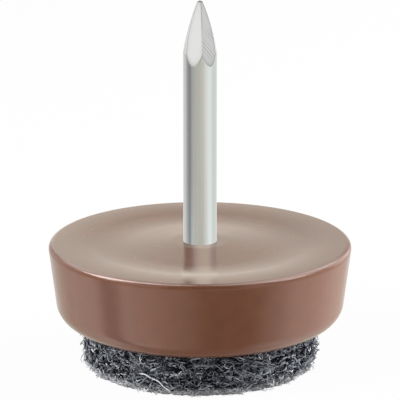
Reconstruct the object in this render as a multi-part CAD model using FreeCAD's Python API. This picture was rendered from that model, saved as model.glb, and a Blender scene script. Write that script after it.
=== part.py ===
"""Nail-on furniture glide: a moulded plastic base with a steel nail up through it and a felt pad under it.

Millimetres, +Z up along the nail. The origin is the centre of the felt's underside, where the glide
stands on the floor. The nail points up, ready to be driven into the foot of a chair leg.
"""
import FreeCAD, Part
import math
import os

# Moulded base
rim_diameter = 24.0        # across the rim, the size the glide is sold by
base_height = 6.35         # from the lip round the felt up to the rim
wall_draft = 7.0           # degrees that the side wall leans in towards the foot
rim_round = 0.4            # outer edge of the rim
foot_round = 1.7           # rounded lower edge
lip_width = 0.4            # flat left between the rounded edge and the felt pocket
rim_land = 0.4             # flat ring on the rim that bears on the leg
rim_roll = 20.0            # radius by which that ring runs into the dished top
rim_slope = 7.0            # degrees that the dished top falls away inside that ring
boss_land = 1.05           # flat ring round the nail, level with the rim
boss_slope = 4.0           # degrees that the dished top falls away outside that ring

# Felt pad
felt_proud = 3.5           # felt that stands out below the lip
felt_seat_depth = 1.0      # felt that is glued into the pocket
felt_bevel = 0.4           # broken lower edge
felt_clearance = 0.1       # between the felt and the pocket wall, all round

# Steel nail
shank_diameter = 2.65
nail_reach = 19.3          # nail that stands out above the base
neck_diameter = 2.3        # waist under the shank, by which the moulded base holds the nail
bore_clearance = 0.02      # between the neck and its bore, all round
head_diameter = 6.4
head_thickness = 1.0
head_clearance = 0.1       # between the head and its pocket, all round
nose_length = 4.1          # length over which the shank narrows
nose_bulge = 0.12          # how far the nose swells out between its ends
tip_width = 0.46           # across the foot of the blunt tip
tip_rise = 0.13            # height of the blunt tip's dome
facet_length = 5.0         # the four cut faces of the point, along the nail
facet_spread = 60.0        # degrees between the two faces that a cutter leaves on one side
facet_bulge = 0.05         # how far a cut face swells out between its ends
facet_tip = 0.14           # from the nail's axis to a cut face, at the tip
facet_overrun = 1.2        # length of a cutter's curve against the face that it cuts
ridge_turn = 7.5           # degrees that the front ridge is turned about the nail's axis

# Heights above the floor, and the radii that pieces share
lip_z = felt_proud
pocket_z = lip_z + felt_seat_depth
head_top_z = pocket_z + head_thickness
rim_z = lip_z + base_height
tip_z = rim_z + nail_reach
rim_radius = rim_diameter / 2
shank_radius = shank_diameter / 2
neck_radius = neck_diameter / 2
head_radius = head_diameter / 2
bore_radius = neck_radius + bore_clearance
head_pocket_radius = head_radius + head_clearance
draft = math.radians(wall_draft)

# The side wall's outward normal leans down by the draft, and both rounded edges run tangent to the wall.
wall_normal = (math.cos(draft), -math.sin(draft))
rim_round_centre = (rim_radius - rim_round, rim_z - rim_round)
wall_top = (
    rim_round_centre[0] + rim_round * wall_normal[0],
    rim_round_centre[1] + rim_round * wall_normal[1],
)
foot_round_centre_z = lip_z + foot_round
foot_round_centre = (
    wall_top[0] + ((foot_round_centre_z - wall_top[1]) * math.sin(draft) - foot_round) / math.cos(draft),
    foot_round_centre_z,
)
felt_pocket_radius = foot_round_centre[0] - lip_width
felt_radius = felt_pocket_radius - felt_clearance


def point(radius, height):
    """A point of a turned profile, in the XZ plane."""
    return FreeCAD.Vector(radius, 0, height)


def line(start, end):
    return Part.LineSegment(point(*start), point(*end)).toShape()


def arc(centre, radius, start_angle, end_angle):
    """An arc about centre, between two angles measured from +X towards +Z, in radians."""
    angles = (start_angle, (start_angle + end_angle) / 2, end_angle)
    on_arc = [point(centre[0] + radius * math.cos(a), centre[1] + radius * math.sin(a)) for a in angles]
    return Part.Arc(*on_arc).toShape()


def turned(edges):
    """The solid that a closed profile sweeps about the nail's axis."""
    face = Part.Face(Part.Wire(edges))
    return face.revolve(FreeCAD.Vector(0, 0, 0), FreeCAD.Vector(0, 0, 1), 360)


def dish(boss_edge, land_edge):
    """The dished top's profile: the rim's ring rolls over into a trough, which rises again to the boss.

    The slopes from the two rings would meet in a valley. The trough's arc fills it, right up to the roll.
    """
    fall_in = math.radians(rim_slope)
    fall_out = math.radians(boss_slope)
    roll_tangent = rim_roll * math.tan(fall_in / 2)
    roll_corner = (land_edge[0] - roll_tangent, land_edge[1])
    roll_centre = (land_edge[0], land_edge[1] - rim_roll)
    roll_end = roll_centre[0] - rim_roll * math.sin(fall_in)
    run = roll_corner[0] - boss_edge[0]
    valley_run = run * math.tan(fall_in) / (math.tan(fall_in) + math.tan(fall_out))
    valley = (boss_edge[0] + valley_run, boss_edge[1] - valley_run * math.tan(fall_out))
    tangent = (roll_end - valley[0]) / math.cos(fall_in)
    trough_round = tangent / math.tan((fall_in + fall_out) / 2)
    trough_end = (valley[0] - tangent * math.cos(fall_out), valley[1] + tangent * math.sin(fall_out))
    trough_centre = (
        trough_end[0] + trough_round * math.sin(fall_out),
        trough_end[1] + trough_round * math.cos(fall_out),
    )
    return [
        line(boss_edge, trough_end),
        arc(trough_centre, trough_round, -math.pi / 2 - fall_out, -math.pi / 2 + fall_in),
        arc(roll_centre, rim_roll, math.pi / 2 + fall_in, math.pi / 2),
    ]


def plastic_base():
    """Tapered disc: a dished top between two flat rings, pockets for the nail's head and the felt below."""
    bore_top = (bore_radius, rim_z)
    boss_edge = (bore_radius + boss_land, rim_z)
    land_outer = (rim_round_centre[0], rim_z)
    land_inner = (land_outer[0] - rim_land, rim_z)
    wall_foot = (
        foot_round_centre[0] + foot_round * wall_normal[0],
        foot_round_centre[1] + foot_round * wall_normal[1],
    )
    lip_outer = (foot_round_centre[0], lip_z)
    lip_inner = (felt_pocket_radius, lip_z)
    felt_corner = (felt_pocket_radius, pocket_z)
    head_mouth = (head_pocket_radius, pocket_z)
    head_corner = (head_pocket_radius, head_top_z)
    bore_foot = (bore_radius, head_top_z)
    return turned([
        line(bore_top, boss_edge),
        *dish(boss_edge, land_inner),
        line(land_inner, land_outer),
        arc(rim_round_centre, rim_round, math.pi / 2, -draft),
        line(wall_top, wall_foot),
        arc(foot_round_centre, foot_round, -draft, -math.pi / 2),
        line(lip_outer, lip_inner),
        line(lip_inner, felt_corner),
        line(felt_corner, head_mouth),
        line(head_mouth, head_corner),
        line(head_corner, bore_foot),
        line(bore_foot, bore_top),
    ])


def swell(foot, top, bulge):
    """The arc from foot up and in to top that swells out by bulge: its centre, radius and two end angles."""
    taper = foot[0] - top[0]
    rise = top[1] - foot[1]
    chord = math.hypot(taper, rise)
    radius = (chord**2 / 4 + bulge**2) / (2 * bulge)
    lean = math.atan2(taper, rise)
    half_angle = math.asin(chord / (2 * radius))
    centre = (
        (foot[0] + top[0]) / 2 - (radius - bulge) * math.cos(lean),
        (foot[1] + top[1]) / 2 - (radius - bulge) * math.sin(lean),
    )
    return centre, radius, lean - half_angle, lean + half_angle


def nail_blank():
    """Head, neck, shank and a nose that narrows to a blunt tip, before the point is cut.

    The shank's lower end rests on the base, and the neck below it fills the bore.
    """
    nose_foot = (shank_radius, tip_z - nose_length)
    nose_top = (tip_width / 2, tip_z - tip_rise)
    dome_radius = (nose_top[0] ** 2 + tip_rise**2) / (2 * tip_rise)
    dome_centre = (0, tip_z - dome_radius)
    dome_start = math.atan2(nose_top[1] - dome_centre[1], nose_top[0])
    outline = [
        (0, pocket_z),
        (head_radius, pocket_z),
        (head_radius, head_top_z),
        (neck_radius, head_top_z),
        (neck_radius, rim_z),
        (shank_radius, rim_z),
        nose_foot,
    ]
    return turned([
        *[line(start, end) for start, end in zip(outline, outline[1:])],
        arc(*swell(nose_foot, nose_top, nose_bulge)),
        arc(dome_centre, dome_radius, dome_start, math.pi / 2),
        line((0, tip_z), (0, pocket_z)),
    ])


def facet_cutter(turn):
    """The block whose curved inner side cuts one face of the point, turned about the nail's axis by degrees.

    The curve runs on past the foot and the tip of the face, so that the block's ends stand clear of the nail.
    """
    facet_foot = (shank_radius, tip_z - facet_length)
    centre, curve_radius, low, high = swell(facet_foot, (facet_tip, tip_z), facet_bulge)
    middle = (low + high) / 2
    half_angle = facet_overrun * (high - low) / 2
    angles = (middle - half_angle, middle + half_angle)
    ends = [
        (centre[0] + curve_radius * math.cos(angle), centre[1] + curve_radius * math.sin(angle))
        for angle in angles
    ]
    outside = shank_radius + shank_diameter
    profile = [
        arc(centre, curve_radius, *angles),
        line(ends[1], (outside, ends[1][1])),
        line((outside, ends[1][1]), (outside, ends[0][1])),
        line((outside, ends[0][1]), ends[0]),
    ]
    block = Part.Face(Part.Wire(profile)).extrude(FreeCAD.Vector(0, 2 * shank_diameter, 0))
    block.translate(FreeCAD.Vector(0, -shank_diameter, 0))
    block.rotate(FreeCAD.Vector(0, 0, 0), FreeCAD.Vector(0, 0, 1), turn)
    return block


def steel_nail():
    """Wire nail with a flat head and a point that two cutters pinch to four faces, a pair from each side."""
    front = ridge_turn - 90
    turns = [front + side + half * facet_spread / 2 for side in (0, 180) for half in (-1, 1)]
    return nail_blank().cut([facet_cutter(turn) for turn in turns])


def felt_pad():
    """Felt disc with a broken lower edge."""
    outline = [
        (0, 0),
        (felt_radius - felt_bevel, 0),
        (felt_radius, felt_bevel),
        (felt_radius, pocket_z),
        (0, pocket_z),
        (0, 0),
    ]
    return turned([line(start, end) for start, end in zip(outline, outline[1:])])


os.makedirs("parts", exist_ok=True)
for node, shape in (
    ("plastic_base", plastic_base()),
    ("steel_nail", steel_nail()),
    ("felt_pad", felt_pad()),
):
    shape.exportStep(f"parts/{node}.step")
    print(node, "solids", len(shape.Solids), "valid", shape.isValid(), "volume", round(shape.Volume, 3))
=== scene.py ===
import math

import bpy
import numpy as np
from bpy.props import FloatProperty, FloatVectorProperty, IntProperty, PointerProperty
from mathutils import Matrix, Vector


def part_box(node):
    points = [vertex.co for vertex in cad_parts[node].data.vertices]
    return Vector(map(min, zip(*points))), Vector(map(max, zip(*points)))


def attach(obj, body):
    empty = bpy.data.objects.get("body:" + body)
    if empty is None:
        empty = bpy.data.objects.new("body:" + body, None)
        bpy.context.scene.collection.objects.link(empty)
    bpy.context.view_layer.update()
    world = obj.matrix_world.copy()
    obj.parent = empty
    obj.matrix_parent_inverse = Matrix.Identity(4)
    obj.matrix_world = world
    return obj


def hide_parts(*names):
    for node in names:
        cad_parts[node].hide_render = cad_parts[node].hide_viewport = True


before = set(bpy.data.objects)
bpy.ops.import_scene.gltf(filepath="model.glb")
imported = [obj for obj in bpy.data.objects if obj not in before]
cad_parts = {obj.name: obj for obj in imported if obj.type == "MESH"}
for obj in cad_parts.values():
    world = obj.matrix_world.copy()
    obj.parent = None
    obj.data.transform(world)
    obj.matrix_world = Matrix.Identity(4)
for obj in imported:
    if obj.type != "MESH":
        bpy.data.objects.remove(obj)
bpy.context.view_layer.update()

bl_info = {
    "name": "Furniture glide",
    "version": (1, 0, 0),
    "blender": (4, 5, 0),
    "location": "3D View > Sidebar > Glide",
    "description": "Builds the looks of a nail-on furniture glide on its CAD frame",
    "category": "Object",
}

MM = 0.001
SEED = 7
PHOTO_PIXELS = 400

base_low, base_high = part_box("plastic_base")
nail_low, nail_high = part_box("steel_nail")
felt_low, felt_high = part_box("felt_pad")


def length(name, description, default):
    """A length property whose default is in metres."""
    return FloatProperty(name=name, description=description, default=default, unit="LENGTH", precision=5)


def angle(name, description, degrees):
    return FloatProperty(name=name, description=description, default=math.radians(degrees), subtype="ANGLE")


def share(name, description, default):
    return FloatProperty(name=name, description=description, default=default, min=0, max=1, subtype="FACTOR")


def value(name, description, default):
    return FloatProperty(name=name, description=description, default=default)


def count(name, description, default):
    return IntProperty(name=name, description=description, default=default, min=1)


def colour(name, description, default):
    return FloatVectorProperty(
        name=name, description=description, default=default, size=3, min=0, max=1, subtype="COLOR"
    )


class GlideBase(bpy.types.PropertyGroup):
    """Sizes and colour of the moulded base."""
    rim_radius: length("Rim radius", "From the nail's axis to the rim", base_high.x)
    rim_height: length("Rim height", "Height of the rim above the floor", base_high.z)
    lip_height: length("Lip height", "Height of the lip round the felt", base_low.z)
    wall_draft: angle("Wall draft", "Lean of the side wall towards the foot", 7)
    rim_round: length("Rim round", "Radius of the rim's outer edge", 0.4 * MM)
    foot_round: length("Foot round", "Radius of the lower edge", 1.7 * MM)
    lip_width: length("Lip width", "Flat between the lower edge and the felt", 0.4 * MM)
    rim_land: length("Rim land", "Width of the flat ring on the rim", 0.4 * MM)
    rim_roll: length("Rim roll", "Radius by which that ring runs into the dished top", 20 * MM)
    rim_slope: angle("Rim slope", "Fall of the dished top inside the rim", 7)
    boss_land: length("Boss land", "Width of the flat ring round the nail, level with the rim", 1.05 * MM)
    boss_slope: angle("Boss slope", "Fall of the dished top outside that ring", 4)
    bore_radius: length("Bore radius", "Hole that holds the nail's neck", 1.17 * MM)
    head_pocket_radius: length("Head pocket", "Pocket that holds the nail's head", 3.3 * MM)
    body_colour: colour("Plastic", "Brown of the plastic", (0.159, 0.061, 0.032))


class GlideNail(bpy.types.PropertyGroup):
    """Sizes and colour of the nail."""
    tip_height: length("Tip height", "Height of the tip above the floor", nail_high.z)
    foot_height: length("Head underside", "Height of the head's underside", nail_low.z)
    head_radius: length("Head radius", "Radius of the flat head", nail_high.x)
    head_thickness: length("Head thickness", "Thickness of the flat head", 1.0 * MM)
    neck_radius: length("Neck radius", "Waist of the nail in the base", 1.15 * MM)
    shank_radius: length("Shank radius", "Stretch of the nail above the base", 1.325 * MM)
    nose_length: length("Nose length", "Length over which the shank narrows", 4.1 * MM)
    nose_bulge: length("Nose bulge", "Swell of the nose between its ends", 0.12 * MM)
    tip_width: length("Tip width", "Width across the foot of the blunt tip", 0.46 * MM)
    tip_rise: length("Tip rise", "Height of the blunt tip's dome", 0.13 * MM)
    facet_length: length("Facet length", "Length of the cut faces", 5.0 * MM)
    facet_spread: angle("Facet spread", "Angle between the two faces that a cutter leaves", 60)
    facet_bulge: length("Facet bulge", "Swell of a cut face between its ends", 0.05 * MM)
    facet_tip: length("Facet at the tip", "From the nail's axis to a cut face at the tip", 0.14 * MM)
    ridge_turn: angle("Ridge turn", "Turn of the front ridge about the nail's axis", 7.5)
    mark_depth: length("Tool mark depth", "Depth of the marks that a cutter leaves", 0.02 * MM)
    mark_pitch: length("Tool mark pitch", "Distance from mark to mark", 0.22 * MM)
    mark_slant: angle("Tool mark slant", "Slope of the marks across a cut face", 52)
    steel_colour: colour("Steel", "Colour of the bare steel", (0.655, 0.66, 0.645))
    # Painted shade: the dark colour below and its shares in the tool marks, beside the ridge, at the border
    # of each cut face and on the tip paint darker reflections into the steel.
    painted_shade_colour: colour("Burnt steel", "Colour that the cutters leave on the point", (0.05, 0.05, 0.05))
    mark_share: share("Burnt marks", "Share of the burnt colour in the tool marks", 0.5)
    streak_share: share("Burnt streak", "Share of the burnt colour beside the ridge", 0.3)
    border_share: share("Burnt border", "Share of the burnt colour at the border of a cut face", 0.5)
    tip_share: share("Burnt tip", "Share of the burnt colour on the tip", 0.9)


class GlideFelt(bpy.types.PropertyGroup):
    """Sizes and colours of the felt pad and its fibres."""
    felt_radius: length("Felt radius", "Radius of the pad, inside its fuzz", felt_high.x - 0.15 * MM)
    felt_top: length("Felt top", "Height of the top that is glued into the base", felt_high.z)
    edge_round: length("Edge round", "Rounding of the pad's lower edge", 0.3 * MM)
    core_sink: length("Core sink", "Depth of the pad's core below the fibres", 0.36 * MM)
    core_bumps: length("Core bumps", "Unevenness of the core", 0.12 * MM)
    tuft_size: length("Tuft size", "Distance over which the fibres gather into tufts", 1.0 * MM)
    fibre_length: length("Fibre length", "Mean length of a fibre", 1.6 * MM)
    fibre_radius: length("Fibre radius", "Mean radius of a fibre", 0.052 * MM)
    fibre_sink: length("Fibre sink", "How far a fibre's ends dip into the pad", 0.2 * MM)
    fibre_lift: length("Fibre lift", "How far a fibre's middle stands above its ends, at most", 0.32 * MM)
    fibre_curl: value("Fibre curl", "How much a fibre winds", 0.85)
    fibre_slant: angle("Fibre slant", "How far fibres lie out of the level, on average", 12)
    stray_lift: length("Stray lift", "How far a stray end stands off the pad", 0.5 * MM)
    dark_count: count("Dark fibres", "Number of the darkest fibres", 2400)
    mid_count: count("Grey fibres", "Number of the middle fibres", 1650)
    light_count: count("Light fibres", "Number of the light fibres", 1800)
    pale_count: count("Pale fibres", "Number of the palest fibres", 480)
    stray_count: count("Stray fibres", "Number of fibres with a free end, of each tone", 750)
    strand_turn: angle("Strand turn", "Where the long strand starts, about the nail's axis", -121.6)
    strand_sweep: angle("Strand sweep", "How far round the pad the long strand runs", 17.8)
    strand_start: length("Strand start", "Distance of the long strand's start below the lip", 1.9 * MM)
    strand_drop: length("Strand drop", "How far down the long strand runs", 1.3 * MM)
    core_colour: colour("Core", "Colour between the fibres", (0.004, 0.004, 0.005))
    dark_colour: colour("Dark fibre colour", "Colour of the darkest fibres", (0.009, 0.009, 0.012))
    mid_colour: colour("Grey fibre colour", "Colour of the middle fibres", (0.086, 0.092, 0.109))
    light_colour: colour("Light fibre colour", "Colour of the light fibres", (0.350, 0.370, 0.405))
    pale_colour: colour("Pale fibre colour", "Colour of the palest fibres", (0.80, 0.83, 0.87))
    # Painted light: the fibres turn paler near the floor, standing in for light bounced off it.
    bounce_height: length("Bounce height", "Height up to which the fibres are frayed", 0.75 * MM)
    bounce_lift: share("Bounce lift", "How much paler frayed fibres are", 0.34)


class GlideStage(bpy.types.PropertyGroup):
    """Camera, light and floor."""
    camera_distance: length("Camera distance", "From the camera to the middle of the rim", 185 * MM)
    camera_elevation: angle("Camera elevation", "Height of the camera above the horizon", 16.2)
    pixels_per_mm: value("Scale", "Pixels per millimetre at the rim", 12.6)
    rim_row: value("Rim row", "Image row of the middle of the rim", 240.6)
    floor_size: length("Floor size", "Side of the square floor", 4.0)
    floor_colour: colour("Floor", "Colour of the floor", (0.95, 0.95, 0.95))
    floor_glow: share("Floor glow", "Share of the floor's white that needs no light", 0.95)
    under_colour: colour("Under", "Colour that mirrors see straight below", (0.30, 0.25, 0.23))
    sky_level: value("Sky", "Level of the light from all round", 0.53)
    near_level: value("Near glow", "Level low down in a mirror's mirror", 2.2)
    key_level: value("Key", "Level of the light from the left", 11.0)
    fill_level: value("Fill", "Level of the light from the right", 23.0)


class GlideProps(bpy.types.PropertyGroup):
    """Everything that a user would change."""
    base: PointerProperty(type=GlideBase)
    nail: PointerProperty(type=GlideNail)
    felt: PointerProperty(type=GlideFelt)
    stage: PointerProperty(type=GlideStage)


def props():
    return bpy.context.scene.glide


# Meshes


def mesh_object(name, vertices, faces, material, sharp_angle=None):
    """A smooth-shaded object in the scene, with edges sharper than sharp_angle kept crisp."""
    mesh = bpy.data.meshes.new(name)
    mesh.from_pydata([tuple(v) for v in vertices], [], faces)
    mesh.update()
    mesh.shade_smooth()
    if sharp_angle is not None:
        mesh.set_sharp_from_angle(angle=sharp_angle)
    mesh.materials.append(material)
    made = bpy.data.objects.new(name, mesh)
    bpy.context.collection.objects.link(made)
    return made


def belong(piece, node_slot, *nodes):
    """Ties a piece to the CAD body and hides the CAD nodes that it stands for. Its node_slot is not used."""
    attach(piece, "root")
    if nodes:
        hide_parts(*nodes)


def full_turn(segments):
    """Angles of equal steps once round."""
    return np.arange(segments) * 2 * math.pi / segments


def about_axis(radius, turn, height):
    """Points by their radius and turn about the Z axis and their height."""
    return np.stack(np.broadcast_arrays(radius * np.cos(turn), radius * np.sin(turn), height), axis=-1)


def ring_faces(rings, segments, first=0):
    """Quads between neighbouring rings of equal size, from inside to outside by the right-hand rule."""
    faces = []
    for lower in range(rings - 1):
        for side in range(segments):
            after = (side + 1) % segments
            start = first + lower * segments
            faces.append((start + side, start + after, start + segments + after, start + segments + side))
    return faces


def turned_ring(profile, segments):
    """Vertices and faces of a closed profile of (radius, height) turned about the Z axis."""
    radius, height = np.array(profile).T[..., None]
    rings = about_axis(radius, full_turn(segments), height)
    faces = ring_faces(len(profile), segments)
    last = (len(profile) - 1) * segments
    for side in range(segments):
        after = (side + 1) % segments
        faces.append((last + side, last + after, after, side))
    return rings.reshape(-1, 3), faces


def capped_rings(rings, foot, top):
    """Vertices and faces of a closed body of rings, from the lowest up, with a middle point at each end.

    rings is an array of rings by turns by 3, and foot and top are the heights of the middle points.
    """
    number, segments, _ = rings.shape
    vertices = np.vstack([rings.reshape(-1, 3), [(0, 0, foot), (0, 0, top)]])
    foot_point, top_point = len(vertices) - 2, len(vertices) - 1
    last = foot_point - segments
    faces = ring_faces(number, segments)
    for side in range(segments):
        after = (side + 1) % segments
        faces.append((foot_point, after, side))
        faces.append((top_point, last + side, last + after))
    return vertices, faces


def arc_points(centre, radius, start, end, steps):
    """Points of an arc, both ends included. Angles run from +X towards +Z."""
    turns = np.linspace(start, end, steps + 1)
    return [(centre[0] + radius * math.cos(t), centre[1] + radius * math.sin(t)) for t in turns]


def line_points(start, end, steps):
    """Points of a straight stretch, without its end."""
    shares = np.arange(steps) / steps
    return [(start[0] + (end[0] - start[0]) * s, start[1] + (end[1] - start[1]) * s) for s in shares]


# Base

BASE_SEGMENTS = 288
BASE_SHARP_ANGLE = math.radians(30)
LAND_STEPS = 3
SLOPE_STEPS = 12
TROUGH_STEPS = 16
ROLL_STEPS = 12
RIM_STEPS = 14
WALL_STEPS = 6
FOOT_STEPS = 24


def dish_profile(base, boss_edge, land_edge):
    """The dished top between its flat rings: a slope down from the boss, the trough and the rim's roll."""
    fall_in, fall_out = base.rim_slope, base.boss_slope
    roll_tangent = base.rim_roll * math.tan(fall_in / 2)
    roll_centre = (land_edge[0], land_edge[1] - base.rim_roll)
    roll_end = roll_centre[0] - base.rim_roll * math.sin(fall_in)
    run = land_edge[0] - roll_tangent - boss_edge[0]
    valley_run = run * math.tan(fall_in) / (math.tan(fall_in) + math.tan(fall_out))
    valley = (boss_edge[0] + valley_run, boss_edge[1] - valley_run * math.tan(fall_out))
    tangent = (roll_end - valley[0]) / math.cos(fall_in)
    trough_round = tangent / math.tan((fall_in + fall_out) / 2)
    trough_end = (valley[0] - tangent * math.cos(fall_out), valley[1] + tangent * math.sin(fall_out))
    trough_centre = (
        trough_end[0] + trough_round * math.sin(fall_out),
        trough_end[1] + trough_round * math.cos(fall_out),
    )
    down = -math.pi / 2
    up = math.pi / 2
    return [
        *line_points(boss_edge, trough_end, SLOPE_STEPS),
        *arc_points(trough_centre, trough_round, down - fall_out, down + fall_in, TROUGH_STEPS)[:-1],
        *arc_points(roll_centre, base.rim_roll, up + fall_in, up, ROLL_STEPS)[:-1],
    ]


def base_profile(base, pocket_height, head_top):
    """The whole section of the base, from the bore over the top and the wall to the pockets below."""
    draft = base.wall_draft
    normal = (math.cos(draft), -math.sin(draft))
    rim_centre = (base.rim_radius - base.rim_round, base.rim_height - base.rim_round)
    wall_top = (rim_centre[0] + base.rim_round * normal[0], rim_centre[1] + base.rim_round * normal[1])
    foot_z = base.lip_height + base.foot_round
    foot_centre = (
        wall_top[0] + ((foot_z - wall_top[1]) * math.sin(draft) - base.foot_round) / math.cos(draft),
        foot_z,
    )
    wall_foot = (foot_centre[0] + base.foot_round * normal[0], foot_centre[1] + base.foot_round * normal[1])
    pocket_radius = foot_centre[0] - base.lip_width
    bore_top = (base.bore_radius, base.rim_height)
    boss_edge = (base.bore_radius + base.boss_land, base.rim_height)
    land_outer = (rim_centre[0], base.rim_height)
    land_inner = (land_outer[0] - base.rim_land, base.rim_height)
    return [
        *line_points(bore_top, boss_edge, LAND_STEPS),
        *dish_profile(base, boss_edge, land_inner),
        *line_points(land_inner, land_outer, LAND_STEPS),
        *arc_points(rim_centre, base.rim_round, math.pi / 2, -draft, RIM_STEPS)[:-1],
        *line_points(wall_top, wall_foot, WALL_STEPS),
        *arc_points(foot_centre, base.foot_round, -draft, -math.pi / 2, FOOT_STEPS),
        (pocket_radius, base.lip_height),
        (pocket_radius, pocket_height),
        (base.head_pocket_radius, pocket_height),
        (base.head_pocket_radius, head_top),
        (base.bore_radius, head_top),
    ]


class GLIDE_OT_base(bpy.types.Operator):
    """Turns the moulded base about the nail's axis"""
    bl_idname = "glide.base"
    bl_label = "Moulded base"

    def execute(self, context):
        base, nail = props().base, props().nail
        head_top = nail.foot_height + nail.head_thickness
        profile = base_profile(base, nail.foot_height, head_top)
        vertices, faces = turned_ring(profile, BASE_SEGMENTS)
        # The profile runs from the top down on the outside, so its faces are turned over.
        faces = [face[::-1] for face in faces]
        piece = mesh_object("moulded_base", vertices, faces, plastic_material(base), BASE_SHARP_ANGLE)
        piece.visible_glossy = False
        belong(piece, "brown_plastic", "plastic_base")
        return {"FINISHED"}


# Nail

NAIL_SEGMENTS = 288
NAIL_SHARP_ANGLE = math.radians(25)
SHANK_RINGS = 20
POINT_RINGS = 260
# Rings of the blunt tip, by their distance below its top as a share of its height
DOME_RINGS = (0.8, 0.55, 0.35, 0.18, 0.07, 0.01)
# The finely divided end of the nail, against the length of the cut faces
POINT_REACH = 1.02
HEAD_INNER_RING = 0.5
LEAST_RADIUS = 0.01 * MM
LEAST_FACING = 0.05
WIDEST_TURN = 1.2

# The streak of painted shade beside the ridge, in shares of a cut face's length and in distances across it
STREAK_START = 0.45
STREAK_FADE = 0.2
STREAK_GAP = 0.07 * MM
STREAK_WIDTH = 0.06 * MM

# The tool marks: where they fade in and out, in shares of a cut face's length, how their strength comes and
# goes, and how narrow they are
MARK_FADE_IN = 0.06
MARK_END = 0.6
MARK_FADE_OUT = 0.12
MARK_UNEVENNESS = 0.4
MARK_BEAT = 0.37
MARK_BEAT_START = 1.0
MARK_SHARPNESS = 8

# Depth of cut over which the painted shade at the border of a cut face fades
BORDER_DEPTH = 0.04 * MM


def swell(foot, top, bulge, height):
    """Radius at each height of the arc from foot up and in to top that swells out by bulge."""
    taper, rise = foot[0] - top[0], top[1] - foot[1]
    chord = math.hypot(taper, rise)
    radius = (chord**2 / 4 + bulge**2) / (2 * bulge)
    lean = math.atan2(taper, rise)
    centre_x = (foot[0] + top[0]) / 2 - (radius - bulge) * math.cos(lean)
    centre_z = (foot[1] + top[1]) / 2 - (radius - bulge) * math.sin(lean)
    return centre_x + np.sqrt(radius**2 - (height - centre_z) ** 2)


def nose_radius(nail, height):
    """Radius of the uncut nose at each height: shank, a swelling curve and a round tip."""
    foot = (nail.shank_radius, nail.tip_height - nail.nose_length)
    top = (nail.tip_width / 2, nail.tip_height - nail.tip_rise)
    dome_radius = (top[0] ** 2 + nail.tip_rise**2) / (2 * nail.tip_rise)
    dome_centre = nail.tip_height - dome_radius
    dome = np.sqrt(np.clip(dome_radius**2 - (height - dome_centre) ** 2, 0, None))
    nose = np.where(height > top[1], dome, swell(foot, top, nail.nose_bulge, height))
    return np.where(height < foot[1], nail.shank_radius, nose)


def facet_distance(nail, height):
    """Distance of a cut face from the nail's axis at each height."""
    foot = (nail.shank_radius, nail.tip_height - nail.facet_length)
    return swell(foot, (nail.facet_tip, nail.tip_height), nail.facet_bulge, height)


def along_facet(nail, height):
    """How far up a cut face each height lies, from 0 at its foot to 1 at the tip."""
    return (height - nail.tip_height + nail.facet_length) / nail.facet_length


def ridge_streak(nail, gap, height):
    """Share of painted shade in the streak beside the ridge, on the upper part of a cut face."""
    upper = np.clip((along_facet(nail, height) - STREAK_START) / STREAK_FADE, 0, 1)
    return upper * np.exp(-(((gap - STREAK_GAP) / STREAK_WIDTH) ** 2))


def tool_marks(nail, across, height):
    """Share of the full depth of the slanting marks, on the lower part of a cut face."""
    along = along_facet(nail, height)
    fade = np.clip(along / MARK_FADE_IN, 0, 1) * np.clip((MARK_END - along) / MARK_FADE_OUT, 0, 1)
    slanted = across * math.sin(nail.mark_slant) + height * math.cos(nail.mark_slant)
    phase = math.pi * slanted / nail.mark_pitch
    uneven = 1 - MARK_UNEVENNESS + MARK_UNEVENNESS * np.sin(phase * MARK_BEAT + MARK_BEAT_START)
    return fade * uneven * np.abs(np.sin(phase)) ** MARK_SHARPNESS


def point_radius(nail, height, turns):
    """Radius of the nail's end for each height and turn, and the share of painted shade there.

    The end is the nose, less what the four cut faces and the marks on two of them take off.
    """
    uncut = np.repeat(nose_radius(nail, height)[:, None], len(turns), axis=1)
    radius = uncut
    painted_shade = np.zeros_like(uncut)
    distance = facet_distance(nail, height)[:, None]
    front = nail.ridge_turn - math.pi / 2
    for side in (0, math.pi):
        for half in (-1, 1):
            turn = turns - (front + side + half * nail.facet_spread / 2)
            reach = distance / np.clip(np.cos(turn), LEAST_FACING, None)
            on_face = reach < radius
            if half > 0:
                nearest = np.arctan2(np.sin(turn), np.cos(turn))
                across = distance * np.tan(np.clip(nearest, -WIDEST_TURN, WIDEST_TURN))
                mark = tool_marks(nail, across, height[:, None])
                gap = across + distance * math.tan(nail.facet_spread / 2)
                streak = ridge_streak(nail, gap, height[:, None])
                # Painted shade: darker in the tool marks and in a streak beside the ridge.
                painted_shade = np.where(on_face, nail.mark_share * mark + nail.streak_share * streak, painted_shade)
                reach = reach - nail.mark_depth * mark
            radius = np.where(on_face, reach, radius)
    # Painted shade along the border of each cut face.
    cut_depth = uncut - radius
    border = np.where(cut_depth > 0, np.exp(-cut_depth / BORDER_DEPTH), 0)
    return np.maximum(radius, LEAST_RADIUS), np.maximum(painted_shade, nail.border_share * border)


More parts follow.
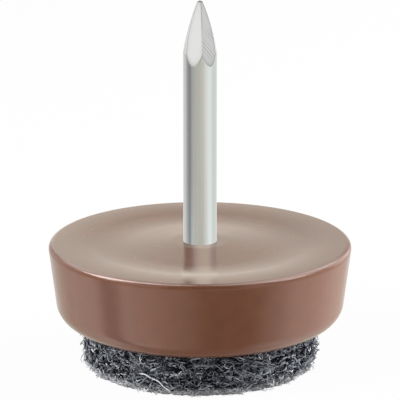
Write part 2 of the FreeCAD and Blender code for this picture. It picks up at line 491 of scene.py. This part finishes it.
class GLIDE_OT_nail(bpy.types.Operator):
    """Builds the nail from its flat head to the cut point"""
    bl_idname = "glide.nail"
    bl_label = "Wire nail"

    def execute(self, context):
        base, nail = props().base, props().nail
        turns = nail.ridge_turn - math.pi / 2 + full_turn(NAIL_SEGMENTS)
        head_top = nail.foot_height + nail.head_thickness
        boss = base.rim_height
        point_foot = nail.tip_height - nail.facet_length * POINT_REACH
        lower = [
            (nail.head_radius * HEAD_INNER_RING, nail.foot_height),
            (nail.head_radius, nail.foot_height),
            (nail.head_radius, head_top),
            (nail.neck_radius, head_top),
            (nail.neck_radius, boss),
            (nail.shank_radius, boss),
        ]
        shank = [(nail.shank_radius, height) for height in np.linspace(boss, point_foot, SHANK_RINGS)[1:]]
        plain = np.array(lower + shank)
        cut_heights = np.linspace(point_foot, nail.tip_height - nail.tip_rise, POINT_RINGS)[1:]
        dome_heights = nail.tip_height - nail.tip_rise * np.array(DOME_RINGS)
        end_heights = np.concatenate([cut_heights, dome_heights])
        point, painted_shade = point_radius(nail, end_heights, turns)
        # Painted shade over the whole blunt tip.
        painted_shade[len(cut_heights):] = nail.tip_share
        radius = np.vstack([np.repeat(plain[:, :1], NAIL_SEGMENTS, axis=1), point])
        height = np.concatenate([plain[:, 1], end_heights])
        rings = about_axis(radius, turns, height[:, None])
        vertices, faces = capped_rings(rings, height[0], height[-1])
        piece = mesh_object("wire_nail", vertices, faces, steel_material(nail), NAIL_SHARP_ANGLE)
        shares = np.zeros(len(vertices))
        shares[plain.shape[0] * NAIL_SEGMENTS:radius.size] = painted_shade.ravel()
        piece.data.attributes.new("painted_shade", "FLOAT", "POINT").data.foreach_set("value", shares)
        belong(piece, "bright_steel", "steel_nail")
        return {"FINISHED"}


# Felt

CORE_SEGMENTS = 240
CORE_SIDE_RINGS = 44
CORE_UNDER_RINGS = 8
# How far past the lip's height the close rings of the side run on, and how far in the last ring lies
CORE_OVERRUN = 1 * MM
CORE_UNDER_REACH = 0.9
CORE_BUMP_SIZE = 0.7 * MM
CORE_LEAST_SINK = 0.02 * MM

# Fields of smooth random values: the number of waves, and the spread of their frequencies
WAVES = 24
WAVE_SPREAD = (0.5, 1.5)

# Distances down from the lip: the highest middle of a fibre, and its highest point. The lowest middle lies
# past the lip's height by some radii of the pad's lower edge.
FIBRE_TOP = 0.35 * MM
FIBRE_POINT_TOP = 0.08 * MM
FIBRE_UNDER = 1.5

# Places tried for each fibre in a tuft, and how loosely they are picked
TUFT_TRIES = 3
TUFT_LOOSENESS = 2.2

# How fibres differ in length, lift and width, and how thin their ends are, as shares
FIBRE_POINTS = 10
LENGTH_SPREAD = 0.4
LIFT_RANGE = (0.15, 1.0)
WIDTH_RANGE = (0.6, 1.4)
END_WIDTH = 0.45

# Stray fibres: their length against the others, the logarithm of a free end's lift with its spread, the
# largest lift, and the power by which the end bends away
STRAY_LENGTH = 0.6
STRAY_MIDDLE = -0.3
STRAY_SPREAD = 0.5
STRAY_MOST = 1.4
STRAY_BEND = 1.6

# Close under the lip, fibres stand off the pad by a smaller share
LIP_START = 0.1 * MM
LIP_REACH = 0.3 * MM
LIP_SHARE = 0.15

# The long strand: the power by which it bends down, its waves, and how far its middle and ends stand off
STRAND_POINTS = 24
STRAND_SIDES = 6
STRAND_BEND = 2.5
STRAND_WAVE = 0.05 * MM
STRAND_WAVE_TURN = 17
STRAND_LIFT = 0.9
STRAND_END_DIP = 0.5
STRAND_END_BEND = 4

# Upward share of a fibre's direction past which its sides are laid out from another axis
STEEP = 0.9


def felt_surface(felt, lip_height, along):
    """Radius, height and outward lean of the pad's outside, by the distance down from the lip.

    The outside runs straight down, round the lower edge and in under the pad.
    """
    straight = lip_height - felt.edge_round
    bend = felt.edge_round * math.pi / 2
    lean = np.clip((along - straight) / felt.edge_round, 0, math.pi / 2)
    under = np.clip(along - straight - bend, 0, None)
    radius = felt.felt_radius - felt.edge_round * (1 - np.cos(lean)) - under
    height = np.where(along < straight, lip_height - along, felt.edge_round * (1 - np.sin(lean)))
    return radius, height, lean


def rough(points, scale, rng):
    """Smooth random values between about -1 and 1 at points, from a sum of plane waves."""
    total = np.zeros(points.shape[:-1])
    for _ in range(WAVES):
        direction = rng.normal(size=3)
        direction *= rng.uniform(*WAVE_SPREAD) / np.linalg.norm(direction)
        total += np.sin(points @ direction * 2 * math.pi / scale + rng.uniform(0, 2 * math.pi))
    return total / math.sqrt(WAVES)


def felt_piece(name, vertices, faces, tone, *nodes):
    """A soft piece of the pad, in one tone of fibre."""
    piece = mesh_object(name, vertices, faces, fibre_material(name, tone))
    belong(piece, "grey_felt", *nodes)
    return piece


class GLIDE_OT_felt_core(bpy.types.Operator):
    """Builds the uneven pad that the fibres lie on"""
    bl_idname = "glide.felt_core"
    bl_label = "Felt core"

    def execute(self, context):
        felt, lip = props().felt, props().base.lip_height
        rng = np.random.default_rng(SEED)
        turns = full_turn(CORE_SEGMENTS)
        end = lip - felt.edge_round + felt.edge_round * math.pi / 2 + felt.felt_radius * CORE_UNDER_REACH
        side = np.linspace(0, lip + CORE_OVERRUN, CORE_SIDE_RINGS)
        under = np.linspace(lip + 2 * CORE_OVERRUN, end, CORE_UNDER_RINGS)
        radius, height, lean = felt_surface(felt, lip, np.concatenate([side, under])[::-1])
        radius = np.append(radius, felt.felt_radius)[:, None]
        height = np.append(height, felt.felt_top)[:, None]
        lean = np.append(lean, 0)[:, None]
        bumps = rough(about_axis(radius, turns, height), CORE_BUMP_SIZE, rng)
        sink = felt.core_sink - felt.core_bumps * bumps
        sink[-1] = felt.core_sink
        raised = height + np.clip(sink, CORE_LEAST_SINK, None) * np.sin(lean)
        rings = about_axis(radius - sink * np.cos(lean), turns, raised)
        vertices, faces = capped_rings(rings, felt.core_sink, felt.felt_top)
        core = felt_piece("felt_core", vertices, faces, felt.core_colour, "felt_pad")
        core.visible_glossy = False
        return {"FINISHED"}


def tubes(paths, radii, sides=3):
    """Vertices and faces of closed thin tubes along paths, an array of fibres by points by 3."""
    fibres, points, _ = paths.shape
    forward = np.gradient(paths, axis=1)
    forward /= np.linalg.norm(forward, axis=2, keepdims=True)
    steep = np.abs(forward[..., 2:]) > STEEP
    right = np.cross(forward, np.where(steep, (1.0, 0.0, 0.0), (0.0, 0.0, 1.0)))
    right /= np.linalg.norm(right, axis=2, keepdims=True)
    up = np.cross(right, forward)
    taper = np.ones(points)
    taper[0] = taper[-1] = END_WIDTH
    turns = full_turn(sides)
    spokes = right[:, :, None] * np.cos(turns)[:, None] + up[:, :, None] * np.sin(turns)[:, None]
    reach = (radii[:, None] * taper)[:, :, None, None]
    vertices = (paths[:, :, None] + spokes * reach).reshape(-1, 3)
    faces = []
    for fibre in range(fibres):
        first = fibre * points * sides
        last = first + (points - 1) * sides
        faces.extend(ring_faces(points, sides, first))
        faces.append(tuple(first + side for side in reversed(range(sides))))
        faces.append(tuple(last + side for side in range(sides)))
    return vertices, faces


def fibre_places(felt, lip_height, number, rng, tufted):
    """Turn about the axis and distance down from the lip of the middle of each fibre.

    Tufted ones are the best placed of several times as many, by a field that all tones share.
    """
    tries = number * TUFT_TRIES
    turn = rng.uniform(0, 2 * math.pi, tries)
    along = rng.uniform(FIBRE_TOP, lip_height + felt.edge_round * FIBRE_UNDER, tries)
    if not tufted:
        return turn[:number], along[:number]
    places = about_axis(felt.felt_radius, turn, along)
    field = rough(places, felt.tuft_size, np.random.default_rng(SEED + 2))
    best = np.argsort(rng.normal(0, TUFT_LOOSENESS, tries) - field)[:number]
    return turn[best], along[best]


def fibre_paths(felt, lip_height, number, rng, tufted, stray):
    """Paths of fibres that lie on the pad's outside and dip into it, or that end free of it where stray."""
    steps = np.linspace(-0.5, 0.5, FIBRE_POINTS)
    reach = felt.fibre_length * rng.lognormal(0, LENGTH_SPREAD, number) * (STRAY_LENGTH if stray else 1.0)
    turn, along = fibre_places(felt, lip_height, number, rng, tufted)
    bends = rng.normal(0, felt.fibre_curl, (number, FIBRE_POINTS + 2))
    bends = (bends[:, :-2] + bends[:, 1:-1] + bends[:, 2:]) / 2
    heading = rng.normal(0, felt.fibre_slant, number)[:, None] + bends
    across = reach[:, None] * np.cumsum(np.cos(heading), axis=1) / FIBRE_POINTS
    down = reach[:, None] * np.cumsum(np.sin(heading), axis=1) / FIBRE_POINTS
    across -= across.mean(axis=1, keepdims=True)
    down -= down.mean(axis=1, keepdims=True)
    along = np.clip(along[:, None] + down, FIBRE_POINT_TOP, None)
    radius, height, lean = felt_surface(felt, lip_height, along)
    lift = felt.fibre_lift * rng.uniform(*LIFT_RANGE, number)[:, None] * (1 - (2 * steps) ** 2)
    lift = lift - felt.fibre_sink
    if stray:
        free = np.clip(rng.lognormal(STRAY_MIDDLE, STRAY_SPREAD, number), None, STRAY_MOST)
        lift = lift + felt.stray_lift * free[:, None] * np.clip(steps + 0.5, 0, 1) ** STRAY_BEND
    under_lip = np.clip((along - LIP_START) / LIP_REACH, LIP_SHARE, 1)
    lift = np.where(lift > 0, lift * under_lip, lift)
    outward = radius + lift * np.cos(lean)
    height = np.clip(height - lift * np.sin(lean), 2 * felt.fibre_radius, None)
    return about_axis(outward, turn[:, None] + across / felt.felt_radius, height)


def strand_path(felt, lip_height):
    """Path of the long pale strand that runs down the front of the pad, to the left of its middle."""
    steps = np.linspace(0, 1, STRAND_POINTS)
    turn = felt.strand_turn + steps * felt.strand_sweep
    along = felt.strand_start + felt.strand_drop * steps**STRAND_BEND
    along = along + STRAND_WAVE * np.sin(steps * STRAND_WAVE_TURN)
    radius, height, lean = felt_surface(felt, lip_height, along)
    lift = felt.fibre_lift * (STRAND_LIFT - STRAND_END_DIP * np.abs(2 * steps - 1) ** STRAND_END_BEND)
    return about_axis(radius + lift * np.cos(lean), turn, height - lift * np.sin(lean))[None]


class GLIDE_OT_fibres(bpy.types.Operator):
    """Lays fibres of several tones round the pad, and lets some stand off it"""
    bl_idname = "glide.fibres"
    bl_label = "Felt fibres"

    def execute(self, context):
        felt, lip = props().felt, props().base.lip_height
        rng = np.random.default_rng(SEED + 1)
        # Name, tone, number, width against the mean, whether in tufts, and whether with a free end
        groups = [
            ("fibres_dark", felt.dark_colour, felt.dark_count, 1.0, False, False),
            ("fibres_grey", felt.mid_colour, felt.mid_count, 1.0, True, False),
            ("fibres_light", felt.light_colour, felt.light_count, 0.9, True, False),
            ("fibres_pale", felt.pale_colour, felt.pale_count, 0.8, True, False),
            ("fibres_stray_grey", felt.mid_colour, felt.stray_count, 0.65, True, True),
            ("fibres_stray_light", felt.light_colour, felt.stray_count, 0.55, True, True),
        ]
        for name, tone, number, width, tufted, stray in groups:
            paths = fibre_paths(felt, lip, number, rng, tufted, stray)
            radii = felt.fibre_radius * width * rng.uniform(*WIDTH_RANGE, number)
            vertices, faces = tubes(paths, radii)
            paint_floor_bounce(felt_piece(name, vertices, faces, tone).active_material, felt)
        vertices, faces = tubes(strand_path(felt, lip), np.array([felt.fibre_radius]), STRAND_SIDES)
        paint_floor_bounce(felt_piece("long_strand", vertices, faces, felt.pale_colour).active_material, felt)
        return {"FINISHED"}


# Materials

# The range that nearly all of the mottle's noise lies in
NOISE_LOW = 0.3
NOISE_HIGH = 0.7


def feed(tree, given, socket):
    """Links an output to a socket, or sets the socket to a plain number or colour."""
    if isinstance(given, bpy.types.NodeSocket):
        tree.links.new(given, socket)
    else:
        socket.default_value = given


def calculated(tree, operation, *given):
    """The result of a Math node."""
    node = tree.nodes.new("ShaderNodeMath")
    node.operation = operation
    for each, socket in zip(given, node.inputs):
        feed(tree, each, socket)
    return node.outputs["Value"]


def band(tree, source, low, high, low_value=0.0, high_value=1.0):
    """A value that runs from low_value to high_value while source runs from low to high."""
    span = tree.nodes.new("ShaderNodeMapRange")
    given = (source, low, high, low_value, high_value)
    for each, socket in zip(given, ("Value", "From Min", "From Max", "To Min", "To Max")):
        feed(tree, each, span.inputs[socket])
    return span.outputs["Result"]


def blend(tree, factor, first, second, kind="MIX"):
    """A colour between first and second, or their sum where kind is ADD."""
    mix = tree.nodes.new("ShaderNodeMix")
    mix.data_type = "RGBA"
    mix.blend_type = kind
    for each, socket in ((factor, "Factor"), (first, "A"), (second, "B")):
        feed(tree, each, mix.inputs[socket])
    return mix.outputs["Result"]


def mixed_shader(tree, factor, first, second):
    """A shader between first and second."""
    mix = tree.nodes.new("ShaderNodeMixShader")
    for each, socket in zip((factor, first, second), mix.inputs):
        tree.links.new(each, socket)
    return mix.outputs["Shader"]


def effect_group(name, inputs, outputs):
    """A new node group with the named sockets. Returns it and the nodes at its two ends."""
    group = bpy.data.node_groups.new(name, "ShaderNodeTree")
    for way, sockets in (("INPUT", inputs), ("OUTPUT", outputs)):
        for socket, kind in sockets:
            group.interface.new_socket(socket, in_out=way, socket_type=kind)
    return group, group.nodes.new("NodeGroupInput"), group.nodes.new("NodeGroupOutput")


def mottle_group():
    """Shared effect: a colour that varies a little from place to place, and the same variation as a value."""
    name = "glide_mottle"
    if name in bpy.data.node_groups:
        return bpy.data.node_groups[name]
    group, given, wanted = effect_group(
        name,
        [("Colour", "NodeSocketColor"), ("Spread", "NodeSocketFloat"), ("Stretch", "NodeSocketVector")],
        [("Colour", "NodeSocketColor"), ("Value", "NodeSocketFloat")],
    )
    nodes, links = group.nodes, group.links
    place = nodes.new("ShaderNodeTexCoord")
    stretch = nodes.new("ShaderNodeVectorMath")
    stretch.operation = "MULTIPLY"
    links.new(place.outputs["Object"], stretch.inputs[0])
    links.new(given.outputs["Stretch"], stretch.inputs[1])
    noise = nodes.new("ShaderNodeTexNoise")
    noise.inputs["Scale"].default_value = 1.0
    noise.inputs["Detail"].default_value = 4.0
    links.new(stretch.outputs["Vector"], noise.inputs["Vector"])
    centred = calculated(group, "SUBTRACT", noise.outputs["Fac"], 0.5)
    gain = calculated(group, "MULTIPLY_ADD", centred, given.outputs["Spread"], 1.0)
    tinted = nodes.new("ShaderNodeVectorMath")
    tinted.operation = "SCALE"
    links.new(given.outputs["Colour"], tinted.inputs[0])
    links.new(gain, tinted.inputs["Scale"])
    links.new(tinted.outputs["Vector"], wanted.inputs["Colour"])
    links.new(noise.outputs["Fac"], wanted.inputs["Value"])
    return group


def floor_bounce_group():
    """Shared effect, painted light: a colour that turns paler from the given height down to half of that
    height, for light bounced off the floor.
    """
    name = "glide_painted_bounce"
    if name in bpy.data.node_groups:
        return bpy.data.node_groups[name]
    group, given, wanted = effect_group(
        name,
        [("Colour", "NodeSocketColor"), ("Bounce height", "NodeSocketFloat"), ("Lift", "NodeSocketFloat")],
        [("Colour", "NodeSocketColor")],
    )
    place = group.nodes.new("ShaderNodeTexCoord")
    parts = group.nodes.new("ShaderNodeSeparateXYZ")
    group.links.new(place.outputs["Object"], parts.inputs["Vector"])
    bounce_top = given.outputs["Bounce height"]
    painted_bounce = band(group, parts.outputs["Z"], bounce_top, calculated(group, "MULTIPLY", bounce_top, 0.5))
    paler = blend(group, painted_bounce, given.outputs["Colour"], given.outputs["Lift"], "ADD")
    paler.node.clamp_result = True
    group.links.new(paler, wanted.inputs["Colour"])
    return group


def plain_material(name):
    """A new material, its node tree and its shader."""
    material = bpy.data.materials.new(name)
    material.use_nodes = True
    return material, material.node_tree, material.node_tree.nodes["Principled BSDF"]


def mottled(name, tone, spread, stretch):
    """A material whose base colour varies by the mottle. Returns it, its tree, its shader and the mottle."""
    material, tree, shader = plain_material(name)
    mottle = tree.nodes.new("ShaderNodeGroup")
    mottle.node_tree = mottle_group()
    mottle.inputs["Colour"].default_value = (*tone, 1)
    mottle.inputs["Spread"].default_value = spread
    mottle.inputs["Stretch"].default_value = stretch
    tree.links.new(mottle.outputs["Colour"], shader.inputs["Base Color"])
    return material, tree, shader, mottle


def vary(tree, mottle, socket, low, high):
    """Feeds a shader's socket from the mottle's value, between low and high."""
    tree.links.new(band(tree, mottle.outputs["Value"], NOISE_LOW, NOISE_HIGH, low, high), socket)


def plastic_material(base):
    """Glossy brown plastic with a faint unevenness from the mould."""
    grain = (900, 900, 900)
    material, tree, shader, mottle = mottled("brown_plastic", base.body_colour, spread=0.25, stretch=grain)
    shader.inputs["IOR"].default_value = 1.5
    vary(tree, mottle, shader.inputs["Roughness"], low=0.14, high=0.22)
    return material


def steel_material(nail):
    """Bare drawn steel: fine lines along the wire, and painted shade, a darker tone painted where the point's
    marks, ridge, cut borders and tip should show darker reflections.
    """
    lines = (6000, 6000, 150)
    line_depth = 0.0004 * MM
    material, tree, shader, mottle = mottled("bright_steel", nail.steel_colour, spread=0.05, stretch=lines)
    shader.inputs["Metallic"].default_value = 1.0
    # Painted shade: the stored share turns the steel's colour towards the dark tone.
    painted_shade = tree.nodes.new("ShaderNodeAttribute")
    painted_shade.attribute_name = "painted_shade"
    darker = blend(tree, painted_shade.outputs["Fac"], mottle.outputs["Colour"], (*nail.painted_shade_colour, 1))
    tree.links.new(darker, shader.inputs["Base Color"])
    vary(tree, mottle, shader.inputs["Roughness"], low=0.14, high=0.20)
    bump = tree.nodes.new("ShaderNodeBump")
    bump.inputs["Distance"].default_value = line_depth
    tree.links.new(mottle.outputs["Value"], bump.inputs["Height"])
    tree.links.new(bump.outputs["Normal"], shader.inputs["Normal"])
    return material


def fibre_material(name, tone):
    """Dull fibre whose tone drifts round the pad."""
    material, tree, shader, mottle = mottled(name, tone, spread=0.8, stretch=(1500, 1500, 1500))
    shader.inputs["Specular IOR Level"].default_value = 0.08
    vary(tree, mottle, shader.inputs["Roughness"], low=0.75, high=0.95)
    return material


def paint_floor_bounce(material, felt):
    """Makes a fibre paler near the floor: painted light bounced off the floor."""
    tree = material.node_tree
    base_colour = tree.nodes["Principled BSDF"].inputs["Base Color"]
    painted_bounce = tree.nodes.new("ShaderNodeGroup")
    painted_bounce.node_tree = floor_bounce_group()
    painted_bounce.inputs["Bounce height"].default_value = felt.bounce_height
    painted_bounce.inputs["Lift"].default_value = felt.bounce_lift
    tree.links.new(base_colour.links[0].from_socket, painted_bounce.inputs["Colour"])
    tree.links.new(painted_bounce.outputs["Colour"], base_colour)


# Stage

CAMERA_NEAR = 0.01
CAMERA_FAR = 10
LAMP_DISTANCE = 0.25
LAMP_WIDTH = 0.22
LAMP_HEIGHT = 0.07


def camera_frame(stage, base):
    """Places the camera so that the middle of the rim lies where the picture has it."""
    rim = Vector((0, 0, base.rim_height))
    back = Vector((0, -math.cos(stage.camera_elevation), math.sin(stage.camera_elevation)))
    up = Vector((0, math.sin(stage.camera_elevation), math.cos(stage.camera_elevation)))
    offset = (stage.rim_row - PHOTO_PIXELS / 2) / (stage.pixels_per_mm / MM)
    focal_pixels = stage.pixels_per_mm / MM * stage.camera_distance
    lens = bpy.data.cameras.new("camera")
    lens.lens = focal_pixels * lens.sensor_width / PHOTO_PIXELS
    lens.clip_start = CAMERA_NEAR
    lens.clip_end = CAMERA_FAR
    camera = bpy.data.objects.new("camera", lens)
    bpy.context.collection.objects.link(camera)
    camera.location = rim + back * stage.camera_distance
    aim = rim + up * offset - camera.location
    camera.rotation_euler = aim.to_track_quat("-Z", "Y").to_euler()
    bpy.context.scene.camera = camera


def strip_light(name, azimuth, elevation, level, centre):
    """A wide, low light that faces the object. Azimuth runs from the camera's side to the right, in degrees.

    Mirrors see the surround's panels in its place.
    """
    turn, rise = math.radians(azimuth), math.radians(elevation)
    away = Vector((math.sin(turn) * math.cos(rise), -math.cos(turn) * math.cos(rise), math.sin(rise)))
    light = bpy.data.lights.new(name, "AREA")
    light.shape = "RECTANGLE"
    light.size = LAMP_WIDTH
    light.size_y = LAMP_HEIGHT
    light.energy = level * math.pi * LAMP_WIDTH * LAMP_HEIGHT
    lamp = bpy.data.objects.new(name, light)
    bpy.context.collection.objects.link(lamp)
    lamp.location = centre + away * LAMP_DISTANCE
    lamp.rotation_euler = (-away).to_track_quat("-Z", "Y").to_euler()
    lamp.visible_camera = False
    lamp.visible_glossy = False


NEUTRAL = (1.0, 1.0, 1.0)
WARM = (1.0, 0.98, 0.88)
ROSY = (1.0, 0.95, 0.93)
COOL = (0.94, 1.0, 0.98)
BLUISH = (0.2, 0.7, 1.0)

# What mirrors see round about, by degrees from the camera's side to the right: (degrees, level, tint).
# The sky's panels stand above the horizon, and the high ones add to them further up. The room's panels lie
# below the horizon, and the floor's below those. A mirror that is seen in a mirror shows the near panels.
SKY_PANELS = [
    (-180, 1.3, WARM), (-170, 1.6, WARM), (-155, 0.8, NEUTRAL), (-140, 1.1, NEUTRAL), (-105, 1.1, NEUTRAL),
    (-92, 0.8, NEUTRAL), (-62, 1.15, NEUTRAL), (-36, 1.2, NEUTRAL), (-22, 0.1, NEUTRAL), (22, 0.1, NEUTRAL),
    (45, 0.93, NEUTRAL), (108, 0.9, NEUTRAL), (122, 2.4, NEUTRAL), (145, 2.4, NEUTRAL), (160, 0.7, NEUTRAL),
    (170, 1.05, WARM), (180, 1.3, WARM),
]
NEAR_PANELS = [
    (-180, 0.9, NEUTRAL), (-110, 0.5, NEUTRAL), (-70, 0.6, NEUTRAL), (-30, 1.8, NEUTRAL), (0, 2.6, WARM),
    (60, 2.7, WARM), (100, 1.6, NEUTRAL), (180, 0.9, NEUTRAL),
]
HIGH_PANELS = [
    (-180, 0.0, NEUTRAL), (-176, 0.0, NEUTRAL), (-165, 2.2, NEUTRAL), (-116, 2.2, NEUTRAL), (-99, 16.0, ROSY),
    (-84, 18.0, ROSY), (-68, 0.0, ROSY), (68, 0.0, ROSY), (84, 9.0, ROSY), (94, 9.0, ROSY), (110, 1.5, ROSY),
    (130, 2.2, NEUTRAL), (165, 2.2, NEUTRAL), (176, 0.0, NEUTRAL), (180, 0.0, NEUTRAL),
]
ROOM_PANELS = [
    (-180, 1.0, NEUTRAL), (-117, 0.82, NEUTRAL), (-94, 0.45, NEUTRAL), (-76, 0.31, NEUTRAL),
    (-44, 0.53, NEUTRAL), (-16, 0.69, WARM), (20, 0.85, WARM), (40, 1.02, NEUTRAL), (60, 1.15, COOL),
    (74, 1.15, COOL), (95, 0.96, COOL), (115, 0.92, COOL), (180, 1.0, NEUTRAL),
]
FLOOR_PANELS = [
    (-180, 0.9, WARM), (-130, 0.95, WARM), (-112, 1.3, NEUTRAL), (-90, 1.65, NEUTRAL), (-82, 0.75, BLUISH),
    (-72, 0.75, BLUISH), (-63, 1.85, NEUTRAL), (-45, 1.5, ROSY), (-24, 0.98, ROSY), (-8, 0.66, ROSY),
    (6, 0.12, NEUTRAL), (42, 0.12, NEUTRAL), (63, 0.95, NEUTRAL), (80, 1.75, ROSY), (118, 1.4, NEUTRAL),
    (153, 0.95, WARM), (180, 0.9, WARM),
]

# Where one kind of panel gives way to the next, as the sine of the angle above the horizon
FLOOR_TO_ROOM = (-0.36, -0.30)
ROOM_TO_SKY = (-0.12, 0.02)
FLOOR_TO_UNDER = (-0.78, -0.98)
SKY_TO_HIGH = (0.42, 0.54)
GLOW_TO_NEAR = (0.18, 0.28)

# Between one and two mirrors on a ray's way
SECOND_MIRROR = (1.2, 1.8)


def azimuth_ramp(tree, azimuth, stops):
    """Light of the surround by azimuth, from stops of (degrees, level, tint)."""
    ramp = tree.nodes.new("ShaderNodeValToRGB")
    ramp.color_ramp.interpolation = "EASE"
    elements = ramp.color_ramp.elements
    while len(elements) > 1:
        elements.remove(elements[-1])
    for index, (degrees, level, tint) in enumerate(stops):
        position = degrees / 360 + 0.5
        element = elements[0] if index == 0 else elements.new(position)
        element.position = position
        element.color = (*[level * part for part in tint], 1)
    tree.links.new(azimuth, ramp.inputs["Fac"])
    return ramp.outputs["Color"]


def mirrored_light(tree, rays, stage):
    """What mirrors see of the world, by height and azimuth and by the number of mirrors on a ray's way."""
    place = tree.nodes.new("ShaderNodeTexCoord")
    parts = tree.nodes.new("ShaderNodeSeparateXYZ")
    tree.links.new(place.outputs["Generated"], parts.inputs["Vector"])
    height = parts.outputs["Z"]
    turn = calculated(tree, "ARCTAN2", parts.outputs["X"], band(tree, parts.outputs["Y"], -1, 1, 1, -1))
    azimuth = band(tree, turn, -math.pi, math.pi)
    floor, room, sky, high, near = [
        azimuth_ramp(tree, azimuth, panels)
        for panels in (FLOOR_PANELS, ROOM_PANELS, SKY_PANELS, HIGH_PANELS, NEAR_PANELS)
    ]
    once = blend(tree, band(tree, height, *FLOOR_TO_ROOM), floor, room)
    once = blend(tree, band(tree, height, *ROOM_TO_SKY), once, sky)
    once = blend(tree, band(tree, height, *FLOOR_TO_UNDER), once, (*stage.under_colour, 1))
    once = blend(tree, band(tree, height, *SKY_TO_HIGH), once, high, "ADD")
    glow = (*[stage.near_level * part for part in WARM], 1)
    twice = blend(tree, band(tree, height, *GLOW_TO_NEAR), glow, near)
    return blend(tree, band(tree, rays.outputs["Glossy Depth"], *SECOND_MIRROR), once, twice)


def surround(stage):
    """World light: even on dull surfaces, white to the camera, and panels and gaps that only mirrors see."""
    world = bpy.data.worlds.new("surround")
    bpy.context.scene.world = world
    world.use_nodes = True
    tree = world.node_tree
    nodes, links = tree.nodes, tree.links
    nodes.clear()
    rays = nodes.new("ShaderNodeLightPath")
    lit = nodes.new("ShaderNodeBackground")
    lit.inputs["Strength"].default_value = stage.sky_level
    in_mirrors = nodes.new("ShaderNodeBackground")
    links.new(mirrored_light(tree, rays, stage), in_mirrors.inputs["Color"])
    seen = nodes.new("ShaderNodeBackground")
    seen.inputs["Color"].default_value = (1, 1, 1, 1)
    even, panels, white = [node.outputs["Background"] for node in (lit, in_mirrors, seen)]
    whole = mixed_shader(tree, rays.outputs["Is Glossy Ray"], even, panels)
    whole = mixed_shader(tree, rays.outputs["Is Camera Ray"], whole, white)
    output = nodes.new("ShaderNodeOutputWorld")
    links.new(whole, output.inputs["Surface"])


def floor_material(stage):
    """Pale floor: part of its white needs no light, so that the shadow on it stays faint."""
    material, tree, shader = plain_material("pale_floor")
    shader.inputs["Base Color"].default_value = (*stage.floor_colour, 1)
    shader.inputs["Roughness"].default_value = 1.0
    shader.inputs["Specular IOR Level"].default_value = 0.0
    rays = tree.nodes.new("ShaderNodeLightPath")
    seen = calculated(tree, "MULTIPLY", rays.outputs["Is Camera Ray"], stage.floor_glow)
    glow = tree.nodes.new("ShaderNodeEmission")
    whole = mixed_shader(tree, seen, shader.outputs["BSDF"], glow.outputs["Emission"])
    tree.links.new(whole, tree.nodes["Material Output"].inputs["Surface"])
    return material


class GLIDE_OT_stage(bpy.types.Operator):
    """Sets the camera, the light and the floor"""
    bl_idname = "glide.stage"
    bl_label = "Stage"

    def execute(self, context):
        stage, base = props().stage, props().base
        camera_frame(stage, base)
        surround(stage)
        centre = Vector((0, 0, base.rim_height))
        strip_light("left_light", azimuth=-68, elevation=22, level=stage.key_level, centre=centre)
        strip_light("right_light", azimuth=104, elevation=9, level=stage.fill_level, centre=centre)
        half = stage.floor_size / 2
        corners = [(-half, -half, 0), (half, -half, 0), (half, half, 0), (-half, half, 0)]
        floor = mesh_object("floor", corners, [(0, 1, 2, 3)], floor_material(stage))
        floor.visible_glossy = False
        context.scene.view_settings.view_transform = "Standard"
        return {"FINISHED"}


class GLIDE_PT_panel(bpy.types.Panel):
    """Lists the steps that build the glide"""
    bl_idname = "GLIDE_PT_panel"
    bl_label = "Furniture glide"
    bl_space_type = "VIEW_3D"
    bl_region_type = "UI"
    bl_category = "Glide"

    def draw(self, context):
        for operator in OPERATORS:
            self.layout.operator(operator.bl_idname)


OPERATORS = (GLIDE_OT_base, GLIDE_OT_nail, GLIDE_OT_felt_core, GLIDE_OT_fibres, GLIDE_OT_stage)
CLASSES = (GlideBase, GlideNail, GlideFelt, GlideStage, GlideProps, *OPERATORS, GLIDE_PT_panel)


def register():
    for each in CLASSES:
        bpy.utils.register_class(each)
    bpy.types.Scene.glide = PointerProperty(type=GlideProps)


def unregister():
    del bpy.types.Scene.glide
    for each in reversed(CLASSES):
        bpy.utils.unregister_class(each)


def main():
    register()
    bpy.ops.glide.base()
    bpy.ops.glide.nail()
    bpy.ops.glide.felt_core()
    bpy.ops.glide.fibres()
    bpy.ops.glide.stage()


if __name__ == "__main__":
    main()
